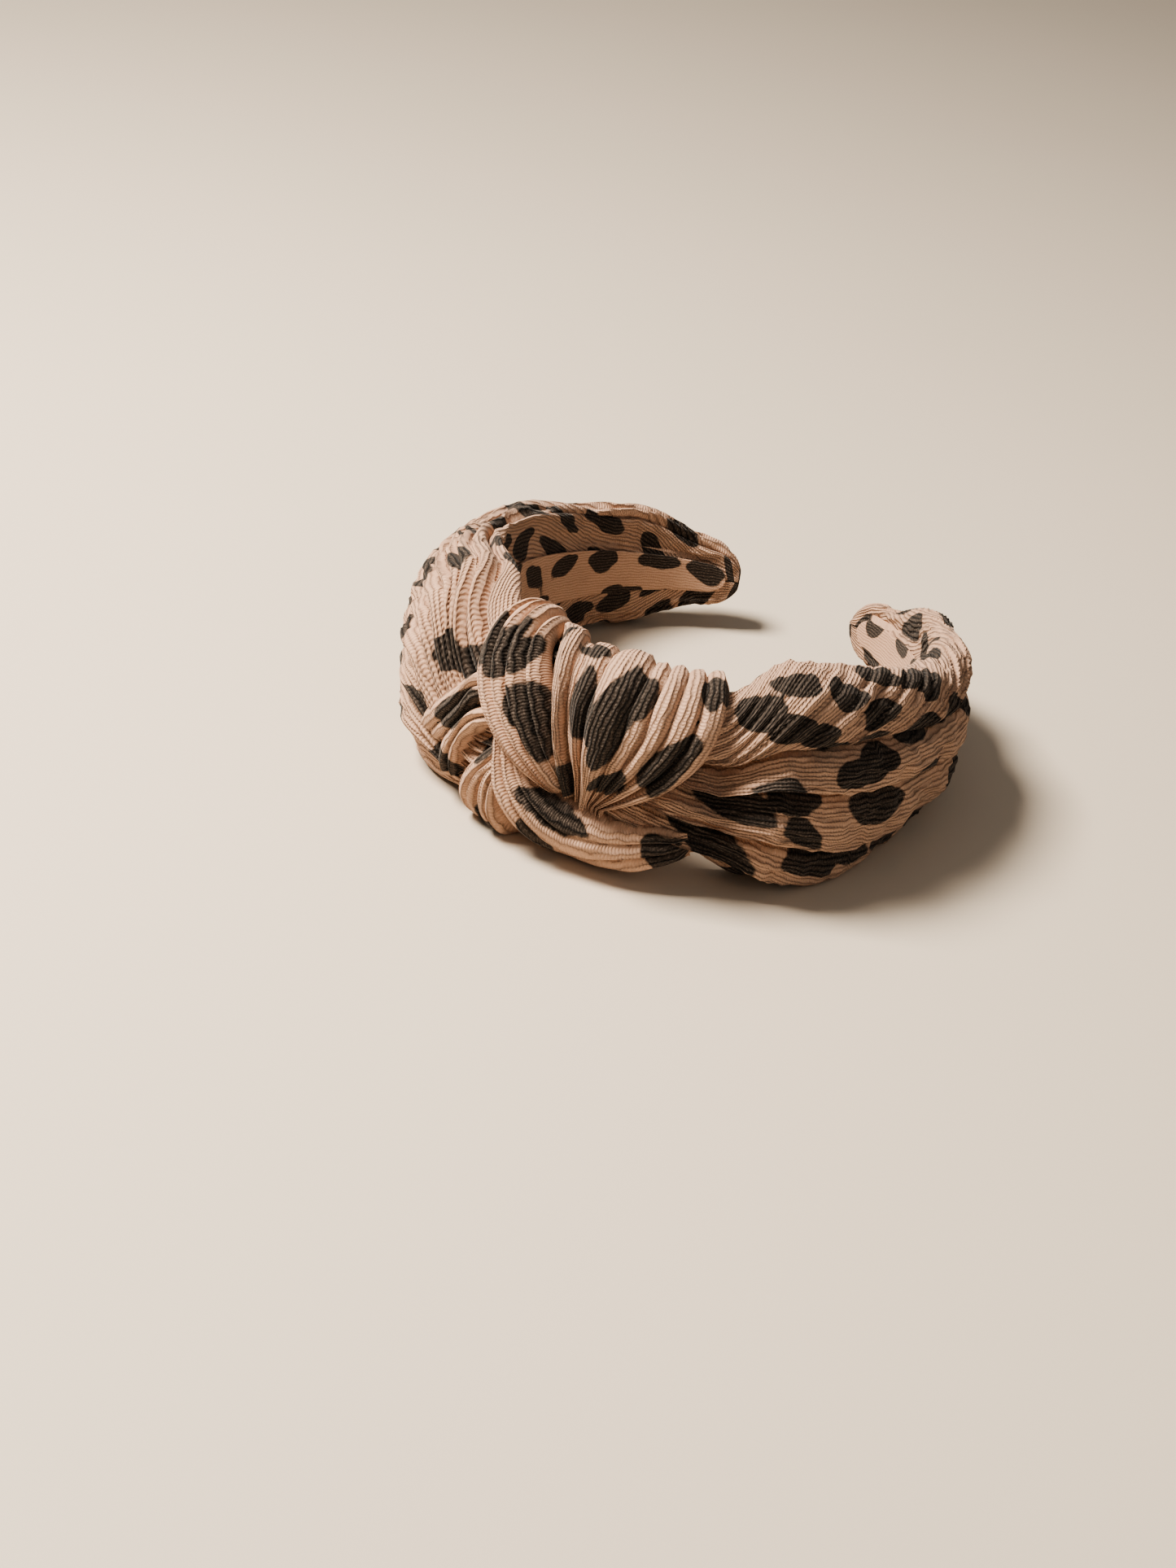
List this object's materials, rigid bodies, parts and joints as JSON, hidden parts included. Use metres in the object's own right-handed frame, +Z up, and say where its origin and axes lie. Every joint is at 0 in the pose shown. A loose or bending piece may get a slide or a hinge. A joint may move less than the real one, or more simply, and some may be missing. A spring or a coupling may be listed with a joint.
{
  "type": "spa headband",
  "caption": "Wide padded headband on a sprung horseshoe hoop, covered in gathered rib knit with a tied knot over the crown; it holds hair off the face.",
  "frame": {"origin": "centre of the bounding box, on the surface the band lies on", "axes": "the band lies on its lower edge: +Z up, the knot at the crown faces -Y, the two tips point to +Y, and +X is the side of the knot where the fan strand ends"},
  "size_m": [0.1664, 0.1654, 0.0652],
  "materials": {
    "rib_knit": "matt rib knit, dusty beige with charcoal brown animal-print spots",
    "smooth_knit": "flat matt knit lining in the same print",
    "foam": "open-cell foam padding",
    "hoop_plastic": "satin moulded plastic"
  },
  "bodies": {
    "crown": {"hoop_crown": "hoop_plastic", "pad_crown": "foam", "lining_crown": "smooth_knit", "neck_left": "rib_knit", "under_strand": "rib_knit", "neck_right": "rib_knit", "sweep_strand": "rib_knit", "fan_strand": "rib_knit"},
    "left_arm": {"hoop_left": "hoop_plastic", "pad_left": "foam", "lining_left": "smooth_knit", "cover_left": "rib_knit"},
    "right_arm": {"hoop_right": "hoop_plastic", "pad_right": "foam", "lining_right": "smooth_knit", "cover_right": "rib_knit"}
  },
  "joints": [
    {"name": "left_arm_flex", "type": "hinge", "parent": "crown", "child": "left_arm", "pos_m": [-0.04585, -0.06523, 0.03754], "axis": [0, 0.1375, 0.9905], "range_deg": [0, 18], "stiffness_Nm_per_rad": 1.8},
    {"name": "right_arm_flex", "type": "hinge", "parent": "crown", "child": "right_arm", "pos_m": [0.04684, -0.06105, 0.03696], "axis": [0, -0.1375, -0.9905], "range_deg": [0, 18], "stiffness_Nm_per_rad": 1.8}
  ]
}
